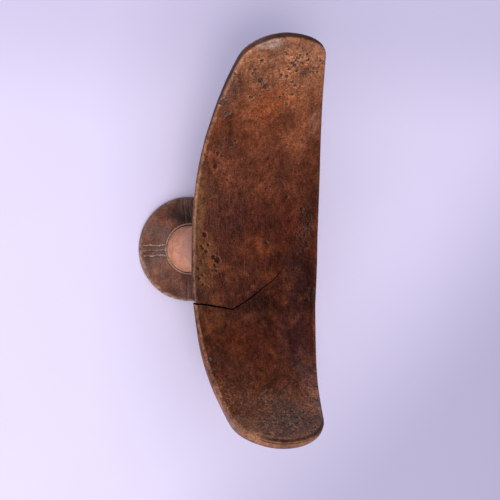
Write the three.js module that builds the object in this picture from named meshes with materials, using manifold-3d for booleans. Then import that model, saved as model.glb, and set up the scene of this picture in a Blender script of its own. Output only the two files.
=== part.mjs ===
// Carved wooden headrest: a round foot disc, a tapering neck and a long curved pillow.
// Millimetres, +Z up. The origin is the centre of the flat underside, on the axis of the neck.
// +X runs along the pillow towards its longer wing, +Y across it.
import * as THREE from 'three';
import { mergeVertices } from 'three/addons/utils/BufferGeometryUtils.js';
import Module from 'manifold-3d';

// Pillow: the line along the middle of its top surface, and its outline seen from above
const SEAT_HEIGHT = 128;         // lowest line of the top surface, above the ground
const SHAPE_REACH = 100;         // distance from the axis at which the rises below are given
const LONG_WING = {
  tip: 108.7,                    // reach of the top surface from the axis
  rise: 45.2,
  risePower: 2.37,
  taper: 12.8,                   // loss of half width at TAPER_REACH
  taperPower: 2.5,
  cornerPlusY: 11,               // length over which the end rounds off, on each side
  cornerMinusY: 6.8,
};
const SHORT_WING = {
  tip: 99,
  rise: 50.9,
  risePower: 3.4,
  taper: 13.1,
  taperPower: 2.35,
  cornerPlusY: 11,
  cornerMinusY: 8.4,
};
const TAPER_REACH = 98;
const PILLOW_HALF_WIDTH = 36.4;
const SIDE_THICKNESS = 5.6;
const END_THICKNESS = 6.3;
const THICKENS_FROM = 65;        // distance from the axis where the plate starts to gain thickness
const THICKENS_TO = 100;
const CROWN = 1.0;               // the middle of the top stands this much above its edges
const BELLY = 2.6;               // the middle of the underside hangs this much below its edges
const EDGE_ROUND = 1.4;          // radius of the worn edges
const TIP_HALF_WIDTH = 2.4;      // the outline stops here, in a short straight tip

// Neck, as [radius, height] pairs
const FOOT_TOP = 10.5;           // seat of the neck on the disc
const NECK_TOP = 112;            // where the neck meets the flare under the pillow
const NECK_TOP_RADIUS = 12.4;
const NECK_FOOT = [[13.6, FOOT_TOP], [14.4, 12.2]];
const NECK_SIDE = [[14.6, 14.5], [13.4, 24], [11.4, 40], [9.6, 72], [10.6, 98], [NECK_TOP_RADIUS, NECK_TOP]];
const NECK_STEPS = 20;
const FLARE_RADIUS = 21;         // the flare dies into the pillow's underside at this radius
const FLARE_TOP = 123.4;
const FLARE_STEPS = 6;

// Disc: its rounded edge, as [radius, height] pairs from the underside up, and the groove round the neck
const UNDERSIDE_RADIUS = 30.6;
const DISC_EDGE = [[31.9, 1.2], [32.5, 3.6], [32.2, 5.2], [31.2, 6.3]];
const DISC_TOP_OUTER = [29.8, 6.8];
const DISC_TOP_INNER = [17, 10.2];
const RING_GROOVE = { radius: 16.2, innerRadius: 15.4, depth: 0.7 };

// Incised marks on the disc: groups of three parallel cuts, one group each quarter turn
const MARK_GROUPS = 4;
const MARKS_IN_GROUP = 3;
const MARK_SPACING = 3.3;
const MARK_WIDTH = 1.2;
const MARK_DEPTH = 0.7;
const MARK_FROM = 17.6;
const MARK_TO = 30;
const MARK_CUTTER_TOP = 2;       // the cutter stands this far above the wood

// Drying crack in the pillow: it runs in from the +Y edge and then turns towards the other edge
const CRACK_THROUGH = [[-28.6, 38.5], [-30.0, 31.0], [-31.5, 23.2], [-33.3, 14.0]];
const CRACK_SHALLOW = [[-33.3, 14.0], [-25.0, 1.0], [-17.9, -8.7], [-12.3, -14.0]];
const CRACK_WIDTH = 0.8;         // at the edge of the pillow
const CRACK_BEND_WIDTH = 0.5;    // where it turns
const CRACK_END_WIDTH = 0.25;
const CRACK_SHALLOW_DEPTH = 3;
const CRACK_CUTTER_REACH = 12;   // the cutter runs this far above and below the seat line

// Mesh fineness
const STATIONS_PER_WING = 26;
const POINTS_ACROSS = 12;
const CORNER_STEPS = 3;
const ROUND_SEGMENTS = 64;

const smoothStep = THREE.MathUtils.smoothstep;
const wingAt = x => (x < 0 ? SHORT_WING : LONG_WING);

const wasm = await Module();
wasm.setup();

function toSolid(geometry) {
  const bare = geometry.clone();
  bare.deleteAttribute('normal');
  bare.deleteAttribute('uv');
  const merged = mergeVertices(bare, 1e-4);
  return new wasm.Manifold(new wasm.Mesh({
    numProp: 3,
    vertProperties: merged.attributes.position.array,
    triVerts: new Uint32Array(merged.index.array),
  }));
}

function toGeometry(solid) {
  const { vertProperties, triVerts } = solid.getMesh();
  const geometry = new THREE.BufferGeometry();
  geometry.setAttribute('position', new THREE.BufferAttribute(vertProperties, 3));
  geometry.setIndex(new THREE.BufferAttribute(triVerts, 1));
  geometry.computeVertexNormals();
  return geometry;
}

function oiledWood(color, roughness) {
  return new THREE.MeshStandardMaterial({ color, roughness, metalness: 0 });
}

// --- Pillow ---

function seatLine(x) {
  const wing = wingAt(x);
  return SEAT_HEIGHT + wing.rise * Math.pow(Math.abs(x) / SHAPE_REACH, wing.risePower);
}

function seatSlope(x) {
  const step = 0.05;
  return (seatLine(x + step) - seatLine(x - step)) / (2 * step);
}

// half the pillow's width on one side of its middle line: a long taper, closed by a round corner
function halfWidth(x, side) {
  const wing = wingAt(x);
  const body = PILLOW_HALF_WIDTH - wing.taper * Math.pow(Math.abs(x) / TAPER_REACH, wing.taperPower);
  const corner = side > 0 ? wing.cornerPlusY : wing.cornerMinusY;
  const intoCorner = THREE.MathUtils.clamp((Math.abs(x) - wing.tip + corner) / corner, 0, 1);
  return Math.max(body * Math.sqrt(1 - intoCorner * intoCorner), TIP_HALF_WIDTH);
}

function edgeThickness(x) {
  const along = smoothStep(Math.abs(x), THICKENS_FROM, THICKENS_TO);
  return THREE.MathUtils.lerp(SIDE_THICKNESS, END_THICKNESS, along);
}

// closed outline of the plate's section at x, as [y, height above the seat line] pairs
function sectionOutline(x) {
  const plusY = halfWidth(x, 1);
  const minusY = halfWidth(x, -1);
  const thickness = edgeThickness(x);
  const round = Math.min(EDGE_ROUND, minusY / 2);
  const bulk = Math.min(1, minusY / PILLOW_HALF_WIDTH);
  const outline = [];
  const corner = (y, height, fromAngle) => {
    for (let step = 0; step <= CORNER_STEPS; step++) {
      const angle = fromAngle + (step / CORNER_STEPS) * (Math.PI / 2);
      outline.push([y + round * Math.cos(angle), height + round * Math.sin(angle)]);
    }
  };
  const face = (fromY, toY, height, bulge) => {
    for (let step = 1; step < POINTS_ACROSS; step++) {
      const share = step / POINTS_ACROSS;
      const across = 2 * share - 1;
      const y = THREE.MathUtils.lerp(fromY, toY, share);
      outline.push([y, height + bulge * bulk * (1 - across * across)]);
    }
  };
  corner(plusY - round, -round, 0);
  face(plusY - round, round - minusY, 0, CROWN);
  corner(round - minusY, -round, Math.PI / 2);
  corner(round - minusY, round - thickness, Math.PI);
  face(round - minusY, plusY - round, -thickness, -BELLY);
  corner(plusY - round, round - thickness, 1.5 * Math.PI);
  return outline;
}

// stations crowd together towards both tips, where the outline turns quickly
function stationList() {
  const list = [];
  for (let i = -STATIONS_PER_WING; i <= STATIONS_PER_WING; i++) {
    const share = Math.sin((Math.abs(i) / STATIONS_PER_WING) * (Math.PI / 2));
    list.push(Math.sign(i) * share * (i < 0 ? SHORT_WING.tip : LONG_WING.tip));
  }
  return list;
}

function plateGeometry() {
  const positions = [];
  const faces = [];
  const stations = stationList();
  stations.forEach(x => {
    const lean = Math.atan(seatSlope(x));
    sectionOutline(x).forEach(([y, height]) => {
      positions.push(x - height * Math.sin(lean), y, seatLine(x) + height * Math.cos(lean));
    });
  });
  const around = positions.length / 3 / stations.length;
  for (let i = 0; i < stations.length - 1; i++) {
    for (let j = 0; j < around; j++) {
      const next = (j + 1) % around;
      const a = i * around + j;
      const b = i * around + next;
      const c = (i + 1) * around + next;
      const d = (i + 1) * around + j;
      faces.push(a, b, c, a, c, d);
    }
  }
  const lastRing = (stations.length - 1) * around;
  for (let j = 1; j < around - 1; j++) {
    faces.push(0, j + 1, j);
    faces.push(lastRing, lastRing + j, lastRing + j + 1);
  }
  const geometry = new THREE.BufferGeometry();
  geometry.setAttribute('position', new THREE.Float32BufferAttribute(positions, 3));
  geometry.setIndex(faces);
  return geometry;
}

// a round solid from [radius, height] points, turned about the vertical axis
function turned(profile) {
  const points = profile.map(([radius, height]) => new THREE.Vector2(radius, height));
  return new THREE.LatheGeometry(points, ROUND_SEGMENTS).rotateX(Math.PI / 2);
}

// the trumpet that joins the neck to the pillow; its top is buried in the plate
function flareGeometry() {
  const profile = [[0, NECK_TOP], [NECK_TOP_RADIUS, NECK_TOP]];
  for (let step = 1; step <= FLARE_STEPS; step++) {
    const angle = (step / FLARE_STEPS) * (Math.PI / 2);
    const radius = FLARE_RADIUS - (FLARE_RADIUS - NECK_TOP_RADIUS) * Math.cos(angle);
    const height = NECK_TOP + (FLARE_TOP - NECK_TOP) * Math.sin(angle);
    profile.push([radius, height]);
  }
  profile.push([0, FLARE_TOP]);
  return turned(profile);
}

// upright wedge that follows a line in plan, as wide as given at each end
function slotGeometry(line, startWidth, endWidth, bottom, top) {
  const left = [];
  const right = [];
  line.forEach(([x, y], i) => {
    const before = line[Math.max(i - 1, 0)];
    const after = line[Math.min(i + 1, line.length - 1)];
    const along = new THREE.Vector2(after[0] - before[0], after[1] - before[1]).normalize();
    const half = THREE.MathUtils.lerp(startWidth, endWidth, i / (line.length - 1)) / 2;
    left.push(new THREE.Vector2(x - along.y * half, y + along.x * half));
    right.unshift(new THREE.Vector2(x + along.y * half, y - along.x * half));
  });
  const outline = new THREE.Shape([...left, ...right]);
  const slot = new THREE.ExtrudeGeometry(outline, { depth: top - bottom, bevelEnabled: false });
  return slot.translate(0, 0, bottom);
}

function makePillow() {
  const above = SEAT_HEIGHT + CRACK_CUTTER_REACH;
  const below = SEAT_HEIGHT - CRACK_CUTTER_REACH;
  const through = slotGeometry(CRACK_THROUGH, CRACK_WIDTH, CRACK_BEND_WIDTH, below, above);
  const shallowFloor = SEAT_HEIGHT + CROWN - CRACK_SHALLOW_DEPTH;
  const shallow = slotGeometry(CRACK_SHALLOW, CRACK_BEND_WIDTH, CRACK_END_WIDTH, shallowFloor, above);
  const solid = toSolid(plateGeometry())
    .add(toSolid(flareGeometry()))
    .subtract(toSolid(through))
    .subtract(toSolid(shallow));
  return new THREE.Mesh(toGeometry(solid), oiledWood('#5d3423', 0.45));
}

// --- Neck ---

function makeStem() {
  const knots = NECK_SIDE.map(([radius, height]) => new THREE.Vector2(radius, height));
  const side = new THREE.SplineCurve(knots).getPoints(NECK_STEPS).map(point => [point.x, point.y]);
  const profile = [[0, FOOT_TOP], ...NECK_FOOT, ...side, [0, NECK_TOP]];
  return new THREE.Mesh(turned(profile), oiledWood('#9a6248', 0.5));
}

// --- Disc ---

function discGeometry() {
  return turned([
    [0, 0],
    [UNDERSIDE_RADIUS, 0],
    ...DISC_EDGE,
    DISC_TOP_OUTER,
    DISC_TOP_INNER,
    [RING_GROOVE.radius, FOOT_TOP - RING_GROOVE.depth],
    [RING_GROOVE.innerRadius, FOOT_TOP],
    [0, FOOT_TOP],
  ]);
}

// one straight V-shaped cut that follows the gentle slope of the disc's top
function markGeometry(offset) {
  const halfTop = (MARK_WIDTH / 2) * (1 + MARK_CUTTER_TOP / MARK_DEPTH);
  const section = new THREE.Shape([
    new THREE.Vector2(0, -MARK_DEPTH),
    new THREE.Vector2(halfTop, MARK_CUTTER_TOP),
    new THREE.Vector2(-halfTop, MARK_CUTTER_TOP),
  ]);
  const length = MARK_TO - MARK_FROM;
  const cut = new THREE.ExtrudeGeometry(section, { depth: length, bevelEnabled: false });
  // stand the section upright and run the cut out along +X
  cut.applyMatrix4(new THREE.Matrix4().makeBasis(
    new THREE.Vector3(0, 1, 0),
    new THREE.Vector3(0, 0, 1),
    new THREE.Vector3(1, 0, 0),
  ));
  const [outerRadius, outerHeight] = DISC_TOP_OUTER;
  const [innerRadius, innerHeight] = DISC_TOP_INNER;
  const fall = (innerHeight - outerHeight) / (outerRadius - innerRadius);
  const startHeight = innerHeight - fall * (MARK_FROM - innerRadius);
  return cut.rotateY(Math.atan(fall)).translate(MARK_FROM, offset, startHeight);
}

function makeBase() {
  let solid = toSolid(discGeometry());
  for (let group = 0; group < MARK_GROUPS; group++) {
    for (let mark = 0; mark < MARKS_IN_GROUP; mark++) {
      const offset = (mark - (MARKS_IN_GROUP - 1) / 2) * MARK_SPACING;
      const cut = markGeometry(offset).rotateZ((group / MARK_GROUPS) * 2 * Math.PI);
      solid = solid.subtract(toSolid(cut));
    }
  }
  return new THREE.Mesh(toGeometry(solid), oiledWood('#6b4336', 0.55));
}

const headrest = new THREE.Group();
headrest.name = 'headrest';
const pieces = { pillow: makePillow(), stem: makeStem(), base: makeBase() };
for (const [name, mesh] of Object.entries(pieces)) {
  mesh.name = name;
  headrest.add(mesh);
}

export default headrest;
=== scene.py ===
import math
import bpy
import numpy as np
from mathutils import Matrix, Vector


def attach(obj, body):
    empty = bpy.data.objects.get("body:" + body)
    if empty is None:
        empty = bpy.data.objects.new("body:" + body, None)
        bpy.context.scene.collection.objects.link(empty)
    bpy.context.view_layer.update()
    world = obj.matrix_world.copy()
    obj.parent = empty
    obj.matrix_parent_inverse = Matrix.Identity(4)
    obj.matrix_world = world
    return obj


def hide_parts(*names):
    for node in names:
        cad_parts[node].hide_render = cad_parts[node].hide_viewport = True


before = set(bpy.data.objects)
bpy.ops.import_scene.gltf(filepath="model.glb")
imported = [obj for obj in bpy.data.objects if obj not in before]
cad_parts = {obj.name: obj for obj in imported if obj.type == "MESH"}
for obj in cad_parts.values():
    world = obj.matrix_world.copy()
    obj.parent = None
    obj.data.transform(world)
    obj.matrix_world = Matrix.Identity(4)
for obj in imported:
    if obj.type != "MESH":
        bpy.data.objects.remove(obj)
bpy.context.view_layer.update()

mm = 0.001
print("frame loaded:", sorted(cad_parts))


def metres(*lengths):
    return [length * mm for length in lengths]


def linear(hexColour):
    values = [int(hexColour[i:i + 2], 16) / 255 for i in (1, 3, 5)]
    return tuple(v / 12.92 if v <= 0.04045 else ((v + 0.055) / 1.055) ** 2.4 for v in values) + (1.0,)


def addNode(tree, kind, *inputs, **more):
    # inputs go in by order; more holds settings (lower case) and inputs by name (capital, spaces as _)
    # a node given as an input is linked by its first output in use, and None leaves an input alone
    node = tree.nodes.new(kind)
    for key, value in more.items():
        if key[0].islower():
            setattr(node, key, value)
    live = [socket for socket in node.inputs if socket.enabled]
    given = list(zip(live, inputs))
    for key, value in more.items():
        if key[0].isupper():
            given.append((next(s for s in live if s.name == key.replace("_", " ")), value))
    for socket, value in given:
        if isinstance(value, bpy.types.Node):
            value = next(s for s in value.outputs if s.enabled)
        if isinstance(value, bpy.types.NodeSocket):
            tree.links.new(value, socket)
        elif value is not None:
            socket.default_value = value
    return node


# short names for the kinds of node used again and again
calc, vector, noise, mix = "ShaderNodeMath", "ShaderNodeVectorMath", "ShaderNodeTexNoise", "ShaderNodeMix"
remap, join, split = "ShaderNodeMapRange", "ShaderNodeCombineXYZ", "ShaderNodeSeparateXYZ"
store, place = "GeometryNodeStoreNamedAttribute", "GeometryNodeSetPosition"
field, where, painted = "GeometryNodeInputNamedAttribute", "GeometryNodeInputPosition", "ShaderNodeAttribute"


def newTree(name, inputs):
    # geometry tree with a Geometry input and output and the named inputs, given as name: default
    tree = bpy.data.node_groups.new(name, "GeometryNodeTree")
    tree.interface.new_socket("Geometry", in_out="INPUT", socket_type="NodeSocketGeometry")
    kinds = {float: "NodeSocketFloat", str: "NodeSocketObject", bpy.types.Material: "NodeSocketMaterial"}
    for title, default in inputs.items():
        socket = tree.interface.new_socket(title, in_out="INPUT", socket_type=kinds[type(default)])
        if isinstance(default, float):
            socket.default_value = default
    tree.interface.new_socket("Geometry", in_out="OUTPUT", socket_type="NodeSocketGeometry")
    return tree, tree.nodes.new("NodeGroupInput").outputs


def endTree(tree, shape, finish):
    # instances made real and the finish put on, for the export
    whole = addNode(tree, "GeometryNodeRealizeInstances", shape)
    coated = addNode(tree, "GeometryNodeSetMaterial", whole, Material=finish)
    tree.links.new(coated.outputs[0], tree.nodes.new("NodeGroupOutput").inputs[0])
    return tree


def keepResult(piece):
    # the piece as its modifiers leave it, made plain mesh
    bpy.context.view_layer.update()
    evaluated = piece.evaluated_get(bpy.context.evaluated_depsgraph_get())
    made = bpy.data.meshes.new_from_object(evaluated)
    old = piece.data
    made.name = piece.name
    piece.modifiers.clear()
    piece.data = made
    bpy.data.meshes.remove(old)


def applyTree(piece, tree, values):
    # run the tree on the piece and keep the result as plain mesh
    step = piece.modifiers.new(tree.name, "NODES")
    step.node_group = tree
    for item in tree.interface.items_tree:
        if item.in_out == "INPUT" and item.name in values:
            step[item.identifier] = values[item.name]
    keepResult(piece)


def overlap(tree, whole, *others):
    # the share that is left where all of these hold
    for other in others:
        whole = addNode(tree, calc, whole, other, operation="MULTIPLY")
    return whole


def strayed(tree, spot, pattern, reach):
    # moves a spot aside by a noise, by half the reach at most
    stray = addNode(tree, vector, pattern.outputs["Color"], (0.5, 0.5, 0.5), operation="SUBTRACT")
    stray = addNode(tree, vector, stray, operation="SCALE", Scale=reach)
    return addNode(tree, vector, spot, stray, operation="ADD")


def pushedOut(tree, g, shift, **marks):
    # keeps the named marks, moves the surface along its normal by shift and ends the tree
    shape = g["Geometry"]
    for name, value in marks.items():
        shape = addNode(tree, store, shape, Name=name, Value=value)
    offset = addNode(tree, vector, addNode(tree, "GeometryNodeInputNormal"), operation="SCALE", Scale=shift)
    return endTree(tree, addNode(tree, place, shape, Offset=offset), g["Finish"])


def bothWays(tree, pattern, middle, amount, live):
    # a pattern turned into a rise and fall about its middle value, where live
    wave = addNode(tree, calc, pattern, middle, operation="SUBTRACT")
    return overlap(tree, wave, amount, live)


def newPiece(name, points, faces, finish=None):
    mesh = bpy.data.meshes.new(name)
    mesh.from_pydata(np.asarray(points, float).tolist(), [], [list(map(int, f)) for f in faces])
    mesh.update()
    if finish:
        mesh.materials.append(finish)
    piece = bpy.data.objects.new(name, mesh)
    bpy.context.scene.collection.objects.link(piece)
    return piece


def setField(piece, name, values):
    made = piece.data.attributes.new(name, "FLOAT", "POINT")
    count = len(piece.data.vertices)
    made.data.foreach_set("value", np.broadcast_to(np.asarray(values, np.float32), count).copy())


def cutOrJoin(piece, other, operation):
    step = piece.modifiers.new(operation.lower(), "BOOLEAN")
    step.operation = operation
    step.object = other
    step.solver = "MANIFOLD"
    step.material_mode = "TRANSFER"
    keepResult(piece)
    mesh = other.data
    bpy.data.objects.remove(other)
    bpy.data.meshes.remove(mesh)


def quadStrip(lower, upper):
    # faces between two closed rows of vertex numbers
    nextLower, nextUpper = np.roll(lower, -1), np.roll(upper, -1)
    return np.stack([lower, nextLower, nextUpper, upper], 1).tolist()


def smooth(x, low, high):
    t = np.clip((x - low) / (high - low), 0, 1)
    return t * t * (3 - 2 * t)


def turnedPiece(name, profile, segments, finish):
    # profile: radius, height and shift along y in mm; the first and last are closed to the axis
    angles = np.arange(segments) / segments * 2 * math.pi
    points = [(0, profile[0][2], profile[0][1])]
    for r, h, aside in profile:
        points += [(r * math.cos(a), r * math.sin(a) + aside, h) for a in angles]
    points.append((0, profile[-1][2], profile[-1][1]))
    rows = [1 + k * segments + np.arange(segments) for k in range(len(profile))]
    faces = []
    for lower, upper in zip(rows, rows[1:]):
        faces += quadStrip(lower, upper)
    for i in range(segments):
        j = (i + 1) % segments
        faces.append((0, rows[0][j], rows[0][i]))
        faces.append((len(points) - 1, rows[-1][i], rows[-1][j]))
    return newPiece(name, np.array(points) * mm, faces, finish)


def roundedLine(knots, steps):
    # smooth line through radius and height pairs
    p = np.array([knots[0], *knots, knots[-1]], float)
    line = []
    for a, b, c, d in zip(p, p[1:], p[2:], p[3:]):
        for t in np.arange(steps) / steps:
            line.append(0.5 * (2 * b + (c - a) * t + (2 * a - 5 * b + 4 * c - d) * t ** 2
                               + (3 * b - a - 3 * c + d) * t ** 3))
    return [tuple(q) for q in line] + [tuple(p[-1])]


def newFinish(name):
    finish = bpy.data.materials.new(name)
    finish.use_nodes = True
    tree = finish.node_tree
    return finish, tree, tree.nodes["Principled BSDF"], addNode(tree, "ShaderNodeTexCoord").outputs["Object"]


def washed(tree, colour, *washes):
    # lays washes over a base colour: each is a share and a shade, then a blend where it isn't a plain mix
    toColour = lambda shade: linear(shade) if isinstance(shade, str) else shade
    for share, shade, *blend in washes:
        colour = addNode(tree, mix, share, toColour(colour), toColour(shade), data_type="RGBA",
                         blend_type=blend[0] if blend else "MIX").outputs[2]
    return colour


def thinLines(tree, pattern, middle, outer, inner, *strength):
    # lines where a pattern crosses its middle value: nothing at outer, full at inner
    off = addNode(tree, calc, pattern, middle, operation="SUBTRACT")
    return addNode(tree, remap, addNode(tree, calc, off, operation="ABSOLUTE"), outer, inner, *strength)


def farFrom(tree, spot, x, y, reachX, reachY):
    # how far a spot lies from x, y seen from above, counted in reaches; all in mm
    centred = addNode(tree, "ShaderNodeMapping", spot, Scale=(1 / (reachX * mm), 1 / (reachY * mm), 0.0),
                      Location=(-x / reachX, -y / reachY, 0.0))
    return addNode(tree, vector, centred, operation="LENGTH").outputs["Value"]


def relief(tree, height, *parts):
    # adds patterns to a relief: (pattern, share)
    for part, share in parts:
        height = addNode(tree, calc, part, share, height, operation="MULTIPLY_ADD")
    return height


def endFinish(tree, surface, colour, roughness, height, look):
    # colour, roughness and relief go into the shader, constants straight onto its sockets
    tree.links.new(colour, surface.inputs["Base Color"])
    tree.links.new(roughness.outputs[0], surface.inputs["Roughness"])
    surface.inputs["IOR"].default_value = look["ior"]
    bump = addNode(tree, "ShaderNodeBump", Strength=look["bump"], Distance=look["bumpDepth"] * mm, Height=height)
    tree.links.new(bump.outputs[0], surface.inputs["Normal"])


def oldWood(tree, spot, look):
    # the noises of hand-worn hardwood: broad blotches, middling ones, specks, and fibres along the pillow
    drift = addNode(tree, noise, spot, Scale=1 / (look["blotch"] * 1.3 * mm), Detail=3.0)
    warped = strayed(tree, spot, drift, look["drift"] * mm)
    long = addNode(tree, vector, warped, (0.6, 1.0, 1.0), operation="MULTIPLY")     # blotches run with the grain
    broad = addNode(tree, noise, long, Scale=1 / (look["blotch"] * mm), Detail=5.0, Roughness=0.62)
    middling = addNode(tree, noise, long, Scale=1 / (look["fleck"] * 3 * mm), Detail=4.0, Roughness=0.6)
    speck = addNode(tree, noise, spot, Scale=1 / (look["fleck"] * mm), Detail=3.0, Roughness=0.65)
    turned = addNode(tree, "ShaderNodeMapping", spot, Scale=(0.09, 1.0, 1.0))
    fibre = addNode(tree, noise, turned, Scale=1 / (look["fibre"] * mm), Detail=3.0)
    return warped, broad, middling, speck, fibre


def mottled(tree, colour, *parts):
    # darkens and lightens a colour by noises: (noise, share either way)
    return washed(tree, colour, *[(1.0, addNode(tree, remap, part, 0.32, 0.68, 1 - amount, 1 + amount), "MULTIPLY")
                                  for part, amount in parts])


handledLook = {
    "dark": "#4a2c1f", "light": "#744a34", "streak": "#8a5c42",
    "cloud": 9.0, "streakWidth": 1.1,           # mm
}


def handledWood(tree, spot):
    # the even brown of the underside and the upper neck, the same on both so that no join shows
    cloud = addNode(tree, noise, spot, Scale=1 / (handledLook["cloud"] * mm), Detail=5.0, Roughness=0.6)
    upright = addNode(tree, "ShaderNodeMapping", spot, Scale=(1.0, 1.0, 0.12))
    streak = addNode(tree, noise, upright, Scale=1 / (handledLook["streakWidth"] * mm), Detail=3.0)
    return washed(tree, handledLook["dark"], (addNode(tree, remap, cloud, 0.35, 0.65), handledLook["light"]),
                  (addNode(tree, remap, streak, 0.5, 0.7, 0.0, 0.4), handledLook["streak"]))


def patinatedWood(zones, blots, look):
    # an old hardwood pillow carved with a knife and greased by heads and hands: mottled brown with a low
    # soft shine, rubbed orange-tan at the ends, with grey dirt in the beetle holes and pale lips, partly rubbed
    # and partly painted highlight
    finish, tree, surface, spot = newFinish("patinatedWood")
    warped, broad, middling, speck, fibre = oldWood(tree, spot, look)
    along = addNode(tree, split, warped)
    fromNeck = addNode(tree, calc, along, operation="ABSOLUTE")
    across = along.outputs["Y"]
    rim = addNode(tree, painted, attribute_name="rimRun").outputs["Fac"]
    under = addNode(tree, remap, rim, *look["underRim"], interpolation_type="SMOOTHSTEP")
    upper = addNode(tree, calc, 1.0, under, operation="SUBTRACT")

    # from one end to the other
    zoneFrom, zoneTo = zones[0][0], zones[-1][0]
    ramp = addNode(tree, "ShaderNodeValToRGB", addNode(tree, remap, along, *metres(zoneFrom, zoneTo)))
    ramp.color_ramp.interpolation = "EASE"
    while len(ramp.color_ramp.elements) < len(zones):
        ramp.color_ramp.elements.new(1.0)
    for stop, (x, shade) in zip(ramp.color_ramp.elements, zones):
        stop.position = (x - zoneFrom) / (zoneTo - zoneFrom)
        stop.color = linear(shade)
    colour = ramp.outputs[0]
    for x, y, reachX, reachY, shade, strength in blots:
        share = addNode(tree, remap, farFrom(tree, warped, x, y, reachX, reachY), 1.25, 0.35, 0.0, strength,
                        interpolation_type="SMOOTHSTEP")
        colour = washed(tree, colour, (overlap(tree, share, upper), shade))
    for span, seed, share, shade in look["clouds"]:
        cloud = addNode(tree, noise, warped, Scale=1 / (span * mm), Detail=4.0, W=seed, noise_dimensions="4D")
        colour = washed(tree, colour, (addNode(tree, remap, cloud, 0.5, 0.72, 0.0, share), shade))
    colour = washed(tree, colour, (under, handledWood(tree, spot)))

    # rubbed squiggles: thin pale lines where one noise crosses its middle value, thickest near the ends
    curl = addNode(tree, noise, spot, Scale=1 / (look["curl"] * mm), Detail=2.0, Distortion=0.4)
    ends = addNode(tree, remap, fromNeck, *metres(*look["curlEnds"]), 0.03, look["curlShare"])
    line = overlap(tree, thinLines(tree, curl, 0.5, *look["curlWidth"]), ends, upper)
    # fine dark scribbles left by dirt in old scratches, in patches
    scratch = addNode(tree, noise, spot, Scale=1 / (look["scribble"] * mm), Detail=2.5, W=5.0, Distortion=0.6,
                      noise_dimensions="4D")
    patch = addNode(tree, remap, broad, 0.4, 0.62, 0.1, look["scribbled"])
    scribble = overlap(tree, thinLines(tree, scratch, 0.5, *look["scribbleWidth"]), patch, upper)
    colour = washed(tree, colour, (line, look["rubbed"]), (scribble, look["poreShade"]))

    # the handled edge: a thin pale lip, partly rubbed and partly painted highlight that is strongest towards +y;
    # then the side, and a darker crease under the short end's lip
    lip = overlap(tree, addNode(tree, remap, rim, *look["lipRise"], interpolation_type="SMOOTHSTEP"),
                  addNode(tree, remap, rim, *look["lipFall"], 1.0, 0.0),
                  addNode(tree, remap, middling, 0.4, 0.6, 0.25, look["lipShare"]),
                  addNode(tree, remap, across, *metres(*look["lipLitAcross"]), 0.25, 1.0))
    side = overlap(tree, addNode(tree, remap, rim, *look["sideRise"], interpolation_type="SMOOTHSTEP"), upper)
    # the side is partly painted light and shade, paler towards the short end whose end face takes the light and
    # darker towards the long end whose end face is shaded, and partly the wood's own rubbed tan and dark patina
    sideShade = washed(tree, look["sideMiddle"],
                       (addNode(tree, remap, along, *metres(*look["toShort"])), look["sideShort"]),
                       (addNode(tree, remap, along, *metres(*look["toLong"])), look["sideLong"]))
    # darker in the crease under the short end's lip
    crease = overlap(tree, addNode(tree, remap, rim, *look["creaseRise"]),
                     addNode(tree, remap, rim, *look["creaseFall"]),
                     addNode(tree, remap, along, *metres(*look["creaseAlong"]), 0.0, 0.75),
                     addNode(tree, remap, across, *metres(*look["creaseAcross"])))
    colour = washed(tree, colour, (lip, look["lip"]), (overlap(tree, side, look["sideShare"]), sideShade),
                    (crease, look["creaseDark"]))
    colour = mottled(tree, colour, (broad, look["blotched"]), (middling, look["flecked"]),
                     (speck, look["speckled"]), (fibre, look["streaked"]))

    # pores: small dark specks, some crowded and some missing
    pores = addNode(tree, "ShaderNodeTexVoronoi", spot, Scale=1 / (look["pore"] * mm), Randomness=1.0)
    crowd = addNode(tree, noise, spot, Scale=1 / (look["poreCrowd"] * mm), Detail=2.0)
    size = addNode(tree, remap, crowd, 0.45, 0.7, *look["poreSize"])
    gap = addNode(tree, calc, size, pores.outputs["Distance"], operation="SUBTRACT")
    pore = addNode(tree, remap, gap, 0.0, 0.1)

    # beetle holes: grey-black dirt inside, dustier towards the ends, and a rubbed pale ring outside
    hole = addNode(tree, painted, attribute_name="hole").outputs["Fac"]
    ring = overlap(tree, addNode(tree, painted, attribute_name="lip").outputs["Fac"],
                   addNode(tree, remap, speck, 0.4, 0.6, 0.1, look["ringShare"]))
    dust = washed(tree, look["dirtPale"],
                  (addNode(tree, remap, fromNeck, *metres(*look["dustyEnds"])), look["dirtEnds"]))
    dirt = washed(tree, look["dirt"], (addNode(tree, remap, speck, 0.35, 0.7), dust))
    filled = overlap(tree, addNode(tree, remap, hole, 0.03, 0.4), look["dirtShare"])
    colour = washed(tree, colour, (overlap(tree, pore, look["poreShare"]), look["poreShade"]),
                    (ring, look["ringLight"], "MULTIPLY"), (filled, dirt))

    # greasy low spots shine more than the rubbed ones; holes and the side are dull, but not at the short end
    dry = overlap(tree, addNode(tree, remap, along, *metres(*look["dryFrom"])), side)
    dry = addNode(tree, calc, dry, hole, operation="MAXIMUM")
    gloss = addNode(tree, remap, middling, 0.3, 0.7, *look["roughness"])
    gloss = addNode(tree, calc, dry, look["dryness"], gloss, operation="MULTIPLY_ADD")
    endFinish(tree, surface, colour, gloss, relief(tree, speck, (pore, -0.9), (fibre, 0.5), (line, 0.5)), look)
    return finish


def splitWood(look):
    # the torn walls of the drying crack: dry and fibrous with no shine, painted near black as the shade deep in
    # the narrow split
    finish, tree, surface, spot = newFinish("splitWood")
    grain = addNode(tree, noise, spot, Scale=1 / (look["grain"] * mm), Detail=4.0)
    tree.links.new(washed(tree, look["dark"], (grain, look["light"])), surface.inputs["Base Color"])
    surface.inputs["Roughness"].default_value = look["roughness"]
    surface.inputs["Specular IOR Level"].default_value = look["specular"]
    bump = addNode(tree, "ShaderNodeBump", Strength=look["bump"], Distance=look["bumpDepth"] * mm, Height=grain)
    tree.links.new(bump.outputs[0], surface.inputs["Normal"])
    return finish


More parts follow.
